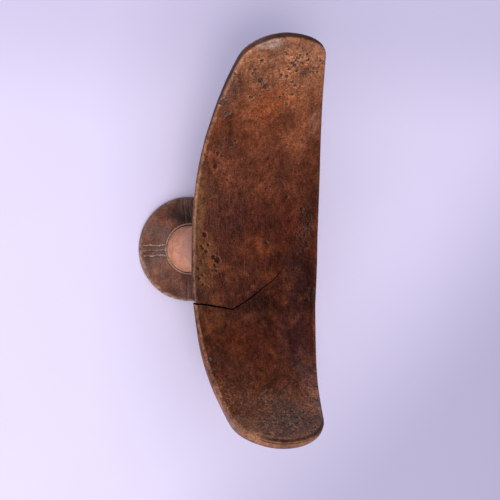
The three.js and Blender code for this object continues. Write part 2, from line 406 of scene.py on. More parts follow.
def rubbedWood(look):
    # the same block where hands grip it: patina rubbed away to paler orange wood at the bulging foot,
    # browner up the neck, smooth with a soft shine
    finish, tree, surface, spot = newFinish("rubbedWood")
    warped, broad, middling, speck, fibre = oldWood(tree, spot, look)
    height = addNode(tree, split, warped).outputs["Z"]
    smudge = addNode(tree, noise, spot, Scale=1 / (look["smudgeSpan"] * mm), Detail=2.0)
    dots = addNode(tree, "ShaderNodeTexVoronoi", spot, Scale=1 / (look["dotSpan"] * mm), Randomness=1.0)
    colour = washed(tree, look["dark"], (addNode(tree, remap, broad, 0.36, 0.62), look["light"]),
                    (addNode(tree, remap, height, *metres(*look["paleToBrown"])), handledWood(tree, spot)),
                    (addNode(tree, remap, smudge, 0.6, 0.75, 0.0, 0.45), look["smudge"]),
                    (addNode(tree, remap, height, *metres(*look["seam"]), 0.75, 0.0), look["seamDirt"]),
                    (addNode(tree, remap, dots.outputs["Distance"], 0.2, 0.12, 0.0, 0.35), look["smudge"]))
    colour = mottled(tree, colour, (middling, look["flecked"]), (speck, look["speckled"]))
    surface.inputs["Coat Weight"].default_value = look["coat"]
    surface.inputs["Coat Roughness"].default_value = look["coatRoughness"]
    endFinish(tree, surface, colour, addNode(tree, remap, middling, 0.3, 0.7, *look["roughness"]),
              relief(tree, speck, (fibre, 0.4)), look)
    return finish


def discWood(look):
    # the foot disc: the dullest part, brown with grey-violet handling dirt, red-brown scuffs, pale dust
    # packed into the cut marks and the ring, and a rim rubbed pale where it knocks on the ground, painted paler
    # still on its lit side towards the short end
    finish, tree, surface, spot = newFinish("discWood")
    warped, broad, middling, speck = oldWood(tree, spot, look)[:4]
    x, y = addNode(tree, split, spot).outputs[:2]
    scuff = addNode(tree, noise, warped, Scale=1 / (look["scuffSpan"] * mm), Detail=4.0)
    handled = addNode(tree, noise, spot, Scale=1 / (look["handledSpan"] * mm), Detail=3.0)
    radius = addNode(tree, vector, addNode(tree, join, x, y), operation="LENGTH").outputs["Value"]
    # the rim: rubbed pale all round, and painted paler towards the short end's side, where light falls on it
    wornAndLitRim = overlap(tree, addNode(tree, remap, radius, *metres(*look["rimWear"])),
                   addNode(tree, remap, middling, 0.35, 0.6, 0.2, 0.85),
                   addNode(tree, remap, x, *metres(*look["rimLitFrom"]), 0.3, 1.0))
    aside = addNode(tree, calc, y, look["ringAside"] * mm, operation="SUBTRACT")
    ring = addNode(tree, vector, addNode(tree, join, x, aside), operation="LENGTH").outputs["Value"]
    ring = thinLines(tree, ring, *metres(look["ring"], look["ringHalf"], 0.3 * look["ringHalf"]), 0.0, 0.7)
    # each cut holds a thread of dust between sides painted darker as shade; the two groups along the pillow hold
    # less dust, partly rubbed clean and partly painted shade on the +x side
    lip = addNode(tree, painted, attribute_name="lip").outputs["Fac"]
    cut = addNode(tree, painted, attribute_name="hole").outputs["Fac"]
    rubbedCleanAndShaded = addNode(tree, remap, addNode(tree, calc, x, operation="ABSOLUTE"), *metres(*look["lessDustFrom"]),
                          1.0, 0.2)
    thread = overlap(tree, addNode(tree, remap, cut, 0.25, 0.7, 0.0, 0.8), rubbedCleanAndShaded,
                     addNode(tree, remap, speck, 0.35, 0.6, 0.6, 1.0))
    # painted shadow: the disc is darker beside the foot, where the pillow and neck cast their shadow
    castShadow = addNode(tree, remap, farFrom(tree, warped, *look["castShadowAt"]), 1.2, 0.4, 0.0, 0.75)
    colour = washed(tree, look["dark"], (addNode(tree, remap, broad, 0.36, 0.62), look["light"]),
                    (addNode(tree, remap, scuff, 0.58, 0.72, 0.0, 0.45), look["scuff"]),
                    (addNode(tree, remap, handled, 0.48, 0.62, 0.0, 0.6), look["handled"]),
                    (castShadow, look["castShadowColour"]), (wornAndLitRim, look["rim"]), (ring, look["dust"]),
                    (overlap(tree, lip, look["cutSideShadeShare"]), look["cut"]), (thread, look["dust"]))
    colour = mottled(tree, colour, (middling, look["flecked"]), (speck, look["speckled"]))
    endFinish(tree, surface, colour, addNode(tree, remap, middling, 0.3, 0.7, *look["roughness"]),
              relief(tree, speck, (middling, 0.8)), look)
    return finish


pillowLook = {
    # mm, real spacings of the mottling
    "blotch": 13.0, "drift": 9.0, "fleck": 0.9, "fibre": 0.8,
    "blotched": 0.42, "flecked": 0.34, "speckled": 0.47, "streaked": 0.08,
    # warm and cold clouds: span in mm, seed, share, shade
    "clouds": [(7.0, 3.0, 0.35, "#7c4220"), (6.0, 7.0, 0.35, "#301611")],
    "curl": 3.2, "curlWidth": (0.035, 0.005), "curlShare": 0.38, "rubbed": "#b07a55",
    "scribble": 2.6, "scribbleWidth": (0.03, 0.004), "scribbled": 0.7,
    # mm outwards round the edge from the top face, where one part of it gives way to the next
    "lipRise": (-0.8, 0.2), "lipFall": (0.9, 2.2), "sideRise": (1.6, 2.6), "underRim": (4.2, 6.5),
    "creaseRise": (0.3, 0.8), "creaseFall": (1.9, 1.4),
    # mm along the pillow or from the neck
    "curlEnds": (62, 92), "toShort": (-25, -50), "toLong": (45, 75), "creaseAlong": (-76, -88),
    "dustyEnds": (40, 75), "dryFrom": (-90, -70),
    # mm across the pillow
    "lipLitAcross": (-12, 10), "creaseAcross": (17, 9),
    "lip": "#94694f", "lipShare": 0.5, "creaseDark": "#2c1b14",
    "sideMiddle": "#5c4031", "sideLong": "#33211d", "sideShort": "#8c5f45", "sideShare": 0.8,
    # spacings in mm; a pore's size is a share of the spacing
    "pore": 1.9, "poreCrowd": 18.0, "poreSize": (0.02, 0.26), "poreShade": "#1e100c", "poreShare": 0.55,
    "dirt": "#0f0c0a", "dirtPale": "#241b16", "dirtEnds": "#5c544e", "dirtShare": 0.92,
    "ringShare": 0.6, "ringLight": (2.0, 1.8, 1.6, 1.0),
    "roughness": (0.26, 0.48), "dryness": 0.45, "ior": 1.4, "bump": 0.55, "bumpDepth": 0.35,
}
# the pillow's shade from the short end to the long one: x in mm, shade
pillowZones = [
    (-102, "#5c4032"), (-84, "#563528"), (-66, "#482417"), (-48, "#3f180c"), (-32, "#330f06"),
    (-14, "#3a1308"), (2, "#41180a"), (16, "#42180c"), (34, "#4d2517"), (50, "#552b1c"), (66, "#633520"),
    (82, "#7c4930"), (100, "#895a41"),
]
# x, y, reach in x, reach in y in mm, shade, strength
pillowBlots = [
    (84, 26, 13, 7, "#42302f", 0.7), (78, 2, 12, 9, "#853f20", 0.5), (60, -17, 16, 9, "#7a4630", 0.7),
    (56, 22, 18, 8, "#4c2618", 0.5), (20, 34, 26, 4, "#63401f", 0.6), (14, 14, 14, 10, "#34140c", 0.7),
    (0, 2, 9, 12, "#52220c", 0.6), (-8, 29, 18, 7, "#5c3418", 0.8), (-12, 17, 8, 5, "#3c1505", 0.6),
    (-20, -24, 30, 11, "#28100f", 0.85), (-33, -2, 14, 11, "#230703", 0.8), (-50, -20, 18, 12, "#3a1e1d", 0.7),
    (-38, 28, 14, 9, "#482209", 0.6), (-50, 14, 10, 7, "#4e2009", 0.5), (-62, 24, 10, 8, "#3e2018", 0.6),
    (-62, 0, 12, 8, "#3b160e", 0.5), (-66, -24, 12, 9, "#503633", 0.7), (-84, -10, 10, 12, "#64402f", 0.6),
    (-93, 0, 5, 14, "#463c37", 0.6), (14, -29, 16, 5, "#33201c", 0.6), (92, -4, 10, 18, "#7f5038", 0.5),
    (-87, -7, 7, 9, "#3a322f", 0.65), (-94, 20, 6, 9, "#8f6b54", 0.5), (-84, -27, 8, 6, "#80604c", 0.5),
    # the first blot below, the pale grey patch on the long end's rim, is partly a rubbed chip and partly painted
    # highlight
    (106, 11, 3, 7, "#a89a94", 0.6), (88, 12, 9, 7, "#7a4d3a", 0.5), (70, -27, 10, 5, "#8a5f50", 0.4),
]
tornLook = {
    "grain": 0.7,                   # mm
    # painted shade: both wall colours near black, as the narrow split looks in shade
    "dark": "#0e0806", "light": "#22140d", "roughness": 0.9, "specular": 0.2, "bump": 0.6, "bumpDepth": 0.3,
}
stemLook = {
    "blotch": 8.0, "drift": 5.0, "fleck": 0.8, "fibre": 0.8,        # mm
    "dark": "#c48360", "light": "#e2a37f", "flecked": 0.18, "speckled": 0.26,
    "paleToBrown": (22.0, 62.0), "seam": (10.3, 11.3),              # mm up
    "smudge": "#8a6f60", "smudgeSpan": 6.0, "dotSpan": 4.0, "seamDirt": "#6b4838",
    "roughness": (0.4, 0.58), "ior": 1.5, "coat": 0.12, "coatRoughness": 0.4, "bump": 0.35, "bumpDepth": 0.3,
}
discLook = {
    "blotch": 9.0, "drift": 6.0, "fleck": 0.9, "fibre": 0.9,        # mm
    "dark": "#45271f", "light": "#784a39", "flecked": 0.34, "speckled": 0.5,
    "scuff": "#75382a", "scuffSpan": 5.0, "handled": "#614c48", "handledSpan": 13.0,
    # where the painted cast shadow lies, and its colour
    "castShadowAt": (20.0, 5.0, 10.0, 10.0), "castShadowColour": "#2a1b1c",          # x, y, reach in x, reach in y in mm
    "rimWear": (30.6, 32.2), "rimLitFrom": (12, -8), "rim": "#a98a76",     # mm from the axis, mm along the pillow
    "ring": 15.6, "ringHalf": 0.7, "ringAside": 1.4,                # mm
    # the cut colour is painted shade on each cut's sides
    "dust": "#a89488", "cut": "#35241f", "cutSideShadeShare": 0.3, "lessDustFrom": (8, 14),
    "roughness": (0.5, 0.75), "ior": 1.5, "bump": 0.55, "bumpDepth": 0.35,
}
patinated = patinatedWood(pillowZones, pillowBlots, pillowLook)
torn = splitWood(tornLook)
rubbed = rubbedWood(stemLook)
dull = discWood(discLook)
print("finishes made:", len(bpy.data.materials))


pillow = {
    "seatHeight": 128.0,            # mm, lowest line of the top
    "reach": 100.0,                 # the rises are given at this distance from the neck's axis
    "long": {"tip": 108.7, "rise": 45.2, "power": 2.37, "taper": 12.8, "taperPower": 2.5, "corners": (6.8, 11.0),
             "endThickness": 6.5},
    "short": {"tip": 100.1, "rise": 50.9, "power": 3.4, "taper": 13.1, "taperPower": 2.35, "corners": (9.4, 11.0),
              "endThickness": 6.6},
    "taperReach": 98.0,
    "halfWidth": 36.4,
    "sideThickness": 5.6,
    "thickenFrom": 65.0,
    "crown": 1.0,                   # the middle of the top stands this much proud of its edges
    "belly": 2.6,
    "edgeInset": 1.6,               # width of the worn edge rounding
    "topRound": 1.2,
    "bottomRound": 3.8,             # at most; less where the board is thin
    "sideFlat": 1.2,                # height left between the two roundings
    "lean": 0.9, "leanShort": (-62.0, -30.0), "leanLong": (50.0, 90.0),
    # where an edge swells or dips: x, spread, amount, side
    "edgeWaves": [(15.0, 110.0, 0.4, 1), (38, 34, 0.9, -1), (-30, 12, -0.4, -1), (-22, 16, 0.3, 1),
                  (72, 10, -0.3, 1)],
    "alongSteps": 468,              # both even: the underside takes every second one
    "acrossSteps": 134,
    "crowdEnds": 0.22,              # how much closer the steps stand at the ends, where the holes are
    "crowdEdges": 0.2,              # and at the long edges
    "edgeTurns": [22, 45, 67, 90],  # degrees, the rows that make a rounding
    "creaseDepth": 0.8,             # mm, the split under the short end's rubbed lip
    "creaseDrop": (0.4, 0.8),       # mm below the top rounding, its bottom and its lower edge
    "creaseBeyond": -70.0, "creaseFrom": -24.0, "creaseTo": 16.0,       # mm along and across the pillow
    "creaseFade": (4.0, 3.0),       # mm, at either end
    "flareRadius": 21.0,
    "flareTop": 123.4,
}


def wingOf(x, key):
    return np.where(x < 0, pillow["short"][key], pillow["long"][key])


def seatLine(x):
    return pillow["seatHeight"] + wingOf(x, "rise") * (np.abs(x) / pillow["reach"]) ** wingOf(x, "power")


def leafHalfWidth(x):
    share = (np.abs(x) / pillow["taperReach"]) ** wingOf(x, "taperPower")
    return pillow["halfWidth"] - wingOf(x, "taper") * share


def topPoint(x, y):
    # a place on the bent top, in mm, for something that lies on it
    lean = np.arctan2(seatLine(x + 0.05) - seatLine(x - 0.05), 0.1)
    lift = pillow["crown"] * (1 - (y / leafHalfWidth(x)) ** 2) * leafHalfWidth(x) / pillow["halfWidth"]
    return x - lift * np.sin(lean), y, seatLine(x) + lift * np.cos(lean)


def endCurve(across, wing):
    # how far the wing reaches at each share of its width; the corners differ a little
    corner = np.where(across < 0, wing["corners"][0], wing["corners"][1]) - pillow["edgeInset"] * 0.5
    return wing["tip"] - pillow["edgeInset"] - corner * (1 - np.sqrt(1 - across ** 2))


def rimLoop(number):
    return np.concatenate([number[:-1, 0], number[-1, :-1], number[:0:-1, -1], number[0, :0:-1]])


def leafBlank(finish):
    # a flat board cut to the pillow's outline, with rounded edges; the bend comes after
    inset, topRound = pillow["edgeInset"], pillow["topRound"]
    fine = np.linspace(-pillow["short"]["tip"], pillow["long"]["tip"], 4001)
    run = np.concatenate([[0], np.cumsum(np.hypot(np.diff(fine), np.diff(seatLine(fine))))])
    t = np.linspace(0, 1, pillow["alongSteps"] + 1)
    t -= pillow["crowdEnds"] * np.sin(2 * math.pi * t) / (2 * math.pi)
    stations = np.interp(t * run[-1], run, fine)
    across = np.linspace(-1, 1, pillow["acrossSteps"] + 1)
    across = (1 - pillow["crowdEdges"]) * across + pillow["crowdEdges"] * np.sin(across * math.pi / 2)
    u = np.where(stations < 0, stations / pillow["short"]["tip"], stations / pillow["long"]["tip"])[:, None]
    x = np.where(u < 0, u * endCurve(across, pillow["short"]), u * endCurve(across, pillow["long"]))
    y = across * (leafHalfWidth(x) - inset)
    for middle, spread, amount, side in pillow["edgeWaves"]:
        y += side * amount * np.exp(-((x - middle) / spread) ** 2) * np.clip(side * across, 0, 1) ** 2
    thicken = smooth(abs(x), pillow["thickenFrom"], pillow["reach"])
    thick = pillow["sideThickness"] + (wingOf(x, "endThickness") - pillow["sideThickness"]) * thicken
    bulge = (1 - across ** 2) * (leafHalfWidth(x) / pillow["halfWidth"]) * (1 - np.abs(u) ** 8)
    inward = np.minimum((1 - np.abs(across)) * leafHalfWidth(x), (1 - np.abs(u)) * pillow["reach"])

    count = x.size
    number = np.arange(count).reshape(x.shape)
    plan = np.stack([x.ravel(), y.ravel()], 1)
    edge = rimLoop(number)
    loop, loopThick = plan[edge], thick.ravel()[edge]
    along = np.roll(loop, -1, 0) - np.roll(loop, 1, 0)
    along /= np.linalg.norm(along, axis=1)[:, None]
    outward = np.stack([along[:, 1], -along[:, 0]], 1)
    bottomRound = np.minimum(pillow["bottomRound"], loopThick - topRound - pillow["sideFlat"])
    creaseFrom, creaseTo, (fadeIn, fadeOut) = pillow["creaseFrom"], pillow["creaseTo"], pillow["creaseFade"]
    crease = (loop[:, 0] < pillow["creaseBeyond"]) * smooth(loop[:, 1], creaseFrom, creaseFrom + fadeIn)
    crease = crease * (1 - smooth(loop[:, 1], creaseTo - fadeOut, creaseTo))

    # the edge's own rows, from the top face round to the underside: reach outwards, height below
    turn = np.radians(pillow["edgeTurns"])
    creaseBottom, creaseEdge = [topRound + drop for drop in pillow["creaseDrop"]]
    rows = [(math.sin(a) * inset, np.full(len(edge), topRound * (1 - math.cos(a)))) for a in turn]
    rows.append((inset - crease * pillow["creaseDepth"], np.full(len(edge), creaseBottom)))
    rows.append((inset + crease * 0.1, np.full(len(edge), creaseEdge)))
    rows.append((inset, (creaseEdge + loopThick - bottomRound) / 2))
    rows += [(math.sin(a) * inset, loopThick - bottomRound * (1 - math.cos(a))) for a in turn[::-1]]
    # beside the neck the side leans in under the lip
    lean = smooth(loop[:, 0], *pillow["leanShort"]) * (1 - smooth(loop[:, 0], *pillow["leanLong"]))
    rows = [(out * (1 - lean * pillow["lean"] * np.clip((down - topRound) / (loopThick - topRound), 0, 1)), down)
            for out, down in rows]

    points = [np.column_stack([plan, np.zeros(count)])]
    rimRun, underShare, swell = [-inward.ravel()], [np.zeros(count)], [bulge.ravel()]
    loops, start, gone, last = [edge], count, 0.0, (0.0, 0.0)
    for reachOut, down in rows:
        points.append(np.column_stack([loop + outward * np.reshape(reachOut, (-1, 1)), -down]))
        gone = gone + math.hypot(np.mean(reachOut) - last[0], np.mean(down) - last[1])
        last = (np.mean(reachOut), np.mean(down))
        rimRun.append(np.full(len(edge), gone))
        underShare.append(down / loopThick)
        swell.append(bulge.ravel()[edge])
        loops.append(start + np.arange(len(edge)))
        start += len(edge)

    coarse = np.ix_(range(0, x.shape[0], 2), range(0, x.shape[1], 2))
    low = start + np.arange(x[coarse].size).reshape(x[coarse].shape)
    points.append(np.column_stack([x[coarse].ravel(), y[coarse].ravel(), -thick[coarse].ravel()]))
    rimRun.append(gone + 0.5 + inward[coarse].ravel())
    underShare.append(np.ones(low.size))
    swell.append(bulge[coarse].ravel())

    grid = lambda n: np.stack([n[:-1, :-1], n[1:, :-1], n[1:, 1:], n[:-1, 1:]], -1).reshape(-1, 4)
    faces = grid(number).tolist() + grid(low)[:, ::-1].tolist()
    for upper, lower in zip(loops, loops[1:]):
        faces += quadStrip(lower, upper)
    lowEdge, rim = rimLoop(low), loops[-1]
    for i in range(len(lowEdge)):
        a, b = lowEdge[i], lowEdge[(i + 1) % len(lowEdge)]
        first, middle, second = rim[2 * i], rim[2 * i + 1], rim[(2 * i + 2) % len(rim)]
        faces += [(a, b, middle), (b, second, middle), (a, middle, first)]
    piece = newPiece("pillowWood", np.concatenate(points) * mm, faces, finish)
    setField(piece, "bulge", np.concatenate(swell))
    setField(piece, "under", np.concatenate(underShare))
    setField(piece, "rimRun", np.concatenate(rimRun))
    return piece


def bendTree():
    # bends a flat board along the seat line: each wing rises as a power of its distance from the neck
    tree, g = newTree("bendBoard", {
        "Seat Height": 0.128, "Reach": 0.1, "Long Rise": 0.045, "Long Power": 2.4, "Short Rise": 0.05,
        "Short Power": 3.4, "Crown": 0.001, "Belly": 0.0026, "Finish": patinated})
    x, y, z = addNode(tree, split, addNode(tree, where)).outputs
    onLong = addNode(tree, calc, x, 0.0, operation="GREATER_THAN")
    rise = addNode(tree, mix, onLong, g["Short Rise"], g["Long Rise"])
    power = addNode(tree, mix, onLong, g["Short Power"], g["Long Power"])
    share = addNode(tree, calc, addNode(tree, calc, x, operation="ABSOLUTE"), g["Reach"], operation="DIVIDE")
    lift = addNode(tree, calc, rise, addNode(tree, calc, share, power, operation="POWER"), operation="MULTIPLY")
    seat = addNode(tree, calc, g["Seat Height"], lift, operation="ADD")
    # the slope is the rise's derivative: rise x power / reach x share to the power less one
    less = addNode(tree, calc, power, 1.0, operation="SUBTRACT")
    slope = addNode(tree, calc, addNode(tree, calc, share, less, operation="POWER"),
                    addNode(tree, calc, rise, power, operation="MULTIPLY"), operation="MULTIPLY")
    slope = addNode(tree, calc, slope, g["Reach"], operation="DIVIDE")
    slope = addNode(tree, calc, slope, addNode(tree, calc, x, operation="SIGN"), operation="MULTIPLY")
    lean = addNode(tree, calc, slope, operation="ARCTANGENT")
    under = addNode(tree, field, "under")
    proud = addNode(tree, mix, under, g["Crown"], addNode(tree, calc, g["Belly"], -1.0, operation="MULTIPLY"))
    swell = addNode(tree, calc, addNode(tree, field, "bulge"), proud, z, operation="MULTIPLY_ADD")
    back = addNode(tree, calc, swell, addNode(tree, calc, lean, operation="SINE"), operation="MULTIPLY")
    bentX = addNode(tree, calc, x, back, operation="SUBTRACT")
    bentZ = addNode(tree, calc, swell, addNode(tree, calc, lean, operation="COSINE"), seat,
                    operation="MULTIPLY_ADD")
    bent = addNode(tree, join, bentX, y, bentZ)
    return endTree(tree, addNode(tree, place, g["Geometry"], Position=bent), g["Finish"])


pillowPiece = leafBlank(patinated)
applyTree(pillowPiece, bendTree(), {
    "Seat Height": pillow["seatHeight"] * mm, "Reach": pillow["reach"] * mm,
    "Long Rise": pillow["long"]["rise"] * mm, "Long Power": pillow["long"]["power"],
    "Short Rise": pillow["short"]["rise"] * mm, "Short Power": pillow["short"]["power"],
    "Crown": pillow["crown"] * mm, "Belly": pillow["belly"] * mm, "Finish": patinated})
print("pillow bent:", len(pillowPiece.data.polygons), "faces")


neck = {
    "foot": [(14.2, 10.4), (14.4, 10.9), (14.4, 11.6), (14.3, 12.6)],
    "side": [(14.15, 14.0), (13.2, 24), (11.4, 40), (9.6, 72), (10.6, 98), (12.4, 112)],
    "segments": 144,
    "stepsBetween": 26,
    "flats": 0.22,                  # mm, how much the knife's long flats stray from round
    "flatSpan": 8.0,                # mm, from one flat to the next
    "fade": 5.0,                    # mm, the flats die out this far from the neck's ends
    "offCentre": 2.0,               # mm, the foot stands this far towards the cracked edge's side
    "straightBy": 70.0,             # mm up, where the neck is back on its axis
}


def flareWood():
    # the flare widens in a quarter ellipse from the neck's top into the pillow's belly
    neckRadius, neckTop = neck["side"][-1]
    turns = np.radians(np.linspace(0, 90, 17))
    line = [(pillow["flareRadius"] - (pillow["flareRadius"] - neckRadius) * math.cos(a),
             neckTop + (pillow["flareTop"] - neckTop) * math.sin(a), 0.0) for a in turns]
    piece = turnedPiece("flareWood", line, neck["segments"], patinated)
    setField(piece, "rimRun", 20.0)     # counts as underside
    return piece


cutOrJoin(pillowPiece, flareWood(), "UNION")

# what beetles, knocks and the knife have left on the pillow
wornTop = {
    # the larger holes one by one: x, y, radius in mm
    "holes": [
        (89.0, 9.9, 1.3), (86.2, 5.9, 1.4), (87.6, 8.6, 0.8), (98.0, 12.3, 1.1), (93.8, 14.6, 0.9),
        (92.0, 15.4, 0.9), (80.6, 13.3, 0.9), (91.8, -0.7, 0.9), (91.4, -3.7, 1.0), (92.7, -12.4, 1.2),
        (95.2, -14.3, 0.8), (93.8, -16.5, 0.7), (93.9, -20.5, 0.7), (97.7, -4.7, 1.0), (96.6, -6.4, 1.0),
        (99.9, -6.9, 0.9), (101.4, -7.8, 0.8), (98.8, -6.2, 0.8), (101.7, -0.4, 0.9), (102.3, 0.8, 0.7),
        (94.8, -4.1, 0.8), (97.9, -10.3, 0.9), (87.2, -10.3, 0.9), (82.8, -10.6, 0.8), (88.8, -8.0, 0.7),
        (78.2, -8.0, 0.9), (82.6, -4.9, 0.6), (91.4, 25.0, 0.7), (56.3, 18.1, 0.9), (58.5, 16.6, 0.7),
        (55.7, 23.8, 0.8), (51.4, 25.4, 0.9), (50.0, 23.2, 0.6), (44.5, 25.9, 1.1), (37.6, 18.6, 0.6),
        (57.0, -13.1, 0.6), (28.8, -16.7, 0.8), (22.3, -26.1, 0.8), (7.6, 29.8, 1.0), (3.6, -5.4, 0.8),
        (-1.7, 29.2, 0.8), (-4.4, 25.0, 1.1), (-6.2, 22.8, 1.2), (-28.1, -30.0, 1.1), (-60.0, 29.6, 1.0),
        (-65.0, 28.3, 0.7), (-79.0, 4.6, 0.9), (-80.6, 5.8, 1.1), (-82.4, 5.2, 1.1), (-81.8, 0.2, 0.8),
        (-86.5, -8.6, 1.0), (-86.9, -14.6, 1.2), (-88.6, -15.6, 0.9), (-89.2, -10.4, 1.4), (-90.4, -14.0, 1.0),
        (-90.4, 2.4, 0.9), (-91.9, 3.4, 0.8), (-92.4, 1.0, 1.0), (-91.8, -1.6, 1.1), (-93.2, -4.6, 1.2),
        (-92.0, -9.2, 1.0), (-95.4, -4.0, 1.2), (-94.2, -17.4, 1.0), (-96.0, -14.9, 0.8),
    ],
    # small holes that crowd together: x, y, reach in x, reach in y, how many, radius
    "swarms": [
        (97, -14, 7, 9, 26, 0.55), (90, 0, 11, 14, 18, 0.5), (14, -28, 13, 5, 18, 0.5), (2, -25, 7, 7, 12, 0.5),
        (-10, 30, 16, 4, 18, 0.5), (-7, 24, 5, 4, 8, 0.55), (-91, -6, 5, 12, 32, 0.6), (-84, -22, 6, 7, 16, 0.5),
        (-25, -30, 6, 4, 6, 0.5), (-81, 6, 4, 3, 9, 0.55), (52, 22, 9, 6, 8, 0.5),
    ],
    "gouges": [((78.6, 27.2), (76.6, 29.4), 0.8), ((72.8, 23.0), (71.4, 25.6), 0.7)],
    "grown": 1.2,                   # how much wider the holes have worn
    "depth": 0.7,                   # of a hole's radius
    "ragged": 0.4,                  # mm, how far a hole's outline strays from round
    "raggedSpan": 1.1,              # mm, from one stray to the next
    "unevenness": 0.45,             # mm, slow rise and fall left by the knife
    "unevenSpan": 24.0,             # mm, from one rise to the next
    "fade": 5.0,                    # mm above the neck's top, where the rise and fall dies out
    "seed": 11,
}


def holePoints():
    random = np.random.default_rng(wornTop["seed"])
    spots = list(wornTop["holes"])
    for x, y, reachX, reachY, count, radius in wornTop["swarms"]:
        for angle, share, size in random.random((count, 3)):
            far = math.sqrt(share)
            spots.append((x + reachX * far * math.cos(angle * 2 * math.pi),
                          y + reachY * far * math.sin(angle * 2 * math.pi), radius * (0.7 + 0.6 * size)))
    for (x0, y0), (x1, y1), radius in wornTop["gouges"]:
        spots += [(x0 + (x1 - x0) * t, y0 + (y1 - y0) * t, radius) for t in np.linspace(0, 1, 5)]
    spots = np.array(spots)
    piece = newPiece("holePoints", np.stack(topPoint(spots[:, 0], spots[:, 1]), 1) * mm, [])
    setField(piece, "radius", spots[:, 2] * wornTop["grown"] * mm)
    return piece


def holeTree():
    # sinks the surface round every point of the Holes object and marks the hole and its lip for the finish
    tree, g = newTree("sinkHoles", {
        "Holes": "object", "Depth": 0.8, "Ragged": 0.0004, "Ragged Scale": 900.0, "Unevenness": 0.0004,
        "Uneven Span": 0.024, "Still Below": 0.112, "Fade": 0.005, "Finish": patinated})
    position = addNode(tree, where)
    holes = addNode(tree, "GeometryNodeObjectInfo", g["Holes"]).outputs["Geometry"]
    reach = addNode(tree, calc, g["Ragged"], 4.0, operation="MULTIPLY")
    probe = strayed(tree, position, addNode(tree, noise, Scale=g["Ragged Scale"], Detail=1.0), reach)
    nearest = addNode(tree, "GeometryNodeSampleNearest", holes, probe)
    centre = addNode(tree, "GeometryNodeSampleIndex", holes, addNode(tree, where), nearest,
                     data_type="FLOAT_VECTOR")
    radius = addNode(tree, "GeometryNodeSampleIndex", holes, addNode(tree, field, "radius"), nearest)
    gap = addNode(tree, vector, probe, centre, operation="DISTANCE").outputs["Value"]
    share = addNode(tree, calc, gap, radius, operation="DIVIDE")
    dent = addNode(tree, remap, share, 1.2, 0.4, interpolation_type="SMOOTHSTEP")
    lip = addNode(tree, remap, share, 2.2, 1.2, interpolation_type="SMOOTHSTEP")
    sink = overlap(tree, dent, overlap(tree, radius, g["Depth"]))
    slow = addNode(tree, noise, Scale=addNode(tree, calc, 1.0, g["Uneven Span"], operation="DIVIDE"), Detail=1.5)
    full = addNode(tree, calc, g["Still Below"], g["Fade"], operation="ADD")
    live = addNode(tree, remap, addNode(tree, split, position).outputs["Z"], g["Still Below"], full)
    wave = bothWays(tree, slow, 0.5, g["Unevenness"], live)
    return pushedOut(tree, g, addNode(tree, calc, wave, sink, operation="SUBTRACT"), hole=dent, lip=lip)


holesObject = holePoints()
applyTree(pillowPiece, holeTree(), {
    "Holes": holesObject, "Depth": wornTop["depth"], "Ragged": wornTop["ragged"] * mm,
    "Ragged Scale": 1 / (wornTop["raggedSpan"] * mm), "Unevenness": wornTop["unevenness"] * mm,
    "Uneven Span": wornTop["unevenSpan"] * mm,
    "Still Below": neck["side"][-1][1] * mm, "Fade": wornTop["fade"] * mm, "Finish": patinated})
bpy.data.objects.remove(holesObject)
print("top worn:", len(pillowPiece.data.polygons), "faces")

# the drying crack: x, y, width and depth below the top in mm; at 12 it goes right through
crack = {
    "main": [(-28.0, 39.0, 1.59, 12), (-28.8, 36.8, 1.46, 12), (-30.0, 34.6, 1.28, 12), (-30.1, 31.6, 1.22, 12),
             (-30.9, 27.0, 1.22, 12), (-31.5, 23.2, 1.16, 12), (-32.4, 18.4, 1.1, 12), (-33.2, 14.2, 0.98, 12),
             (-29.3, 7.6, 0.94, 4), (-27.3, 4.4, 0.91, 4), (-25.0, 0.9, 0.88, 3.5), (-22.9, -1.4, 0.82, 3.5),
             (-20.6, -4.5, 0.76, 3), (-19.6, -6.6, 0.71, 3), (-17.9, -8.9, 0.65, 2.5), (-14.8, -11.8, 0.55, 2),
             (-12.3, -14.0, 0.41, 1.2), (-9.6, -15.8, 0.24, 0.6)],
    "spur": [(-33.0, 14.8, 0.5, 2.5), (-33.9, 13.7, 0.55, 2.5), (-34.6, 13.2, 0.25, 1.2)],
    "hair": [(-7.2, -17.0, 0.15, 0.5), (-8.4, -19.2, 0.35, 0.8), (-9.3, -20.8, 0.3, 0.7),
             (-10.7, -23.0, 0.12, 0.4)],
    "jitter": 0.16,                 # mm, sideways
    "step": 1.1,                    # mm, between bends
    "lean": 0.22,                   # the split slants: it moves this much along x for each mm of depth
    "above": 4.0,                   # mm, the blade stands this proud of the top
    "narrowing": 0.7,               # the split's width at its bottom, as a share of that at the top
    "seed": 5,
}


